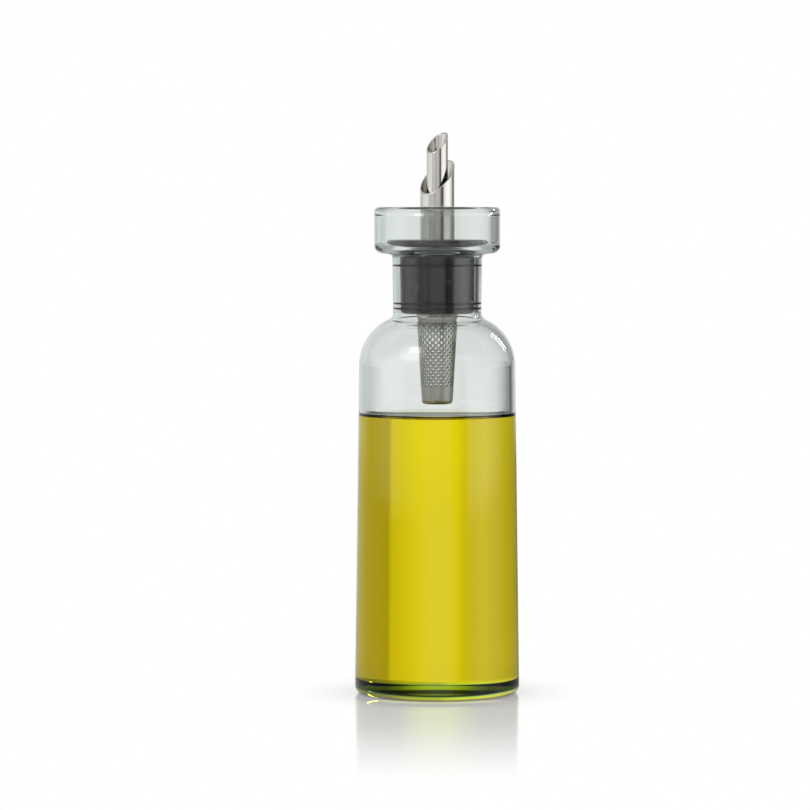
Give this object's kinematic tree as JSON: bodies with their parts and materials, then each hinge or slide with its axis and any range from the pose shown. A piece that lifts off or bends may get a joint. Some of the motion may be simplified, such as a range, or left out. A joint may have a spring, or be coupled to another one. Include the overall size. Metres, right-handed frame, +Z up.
{
  "type": "oil dispenser",
  "caption": "Glass oil bottle with a collar cup round its mouth, and a lift-out silicone stopper that carries a double slanted steel spout and a perforated strainer.",
  "frame": {"origin": "centre of the face that the bottle stands on", "axes": "+Z up along the bottle's axis, +X to the right and +Y away from the viewer of the reference view"},
  "size_m": [0.0618, 0.0618, 0.2105],
  "materials": {
    "glass": "clear, faintly grey-green, fire-polished",
    "oil": "clear yellow-green liquid",
    "silicone": "satin moulded",
    "holder": "moulded",
    "steel": "drawn and polished lengthwise",
    "strainer_sheet": "perforated and drawn"
  },
  "bodies": {
    "bottle": {"glass_bottle": "glass", "oil_fill": "oil"},
    "stopper": {"stopper_plug": "silicone"},
    "spout": {"spout_holder": "holder", "drip_tube": "steel", "pouring_tube": "steel"},
    "strainer": {"strainer": "strainer_sheet"}
  },
  "joints": [
    {"name": "pourer_lift", "type": "slide", "parent": "bottle", "child": "stopper", "axis": [0, 0, 1], "range_m": [0, 0.08]},
    {"name": "spout_turn", "type": "hinge", "parent": "stopper", "child": "spout", "pos_m": [0, 0, 0.1702], "axis": [0, 0, 1], "continuous": true},
    {"name": "strainer_pull", "type": "slide", "parent": "spout", "child": "strainer", "axis": [0, 0, -1], "range_m": [0, 0.012], "deforming": ["oil_fill"]}
  ]
}
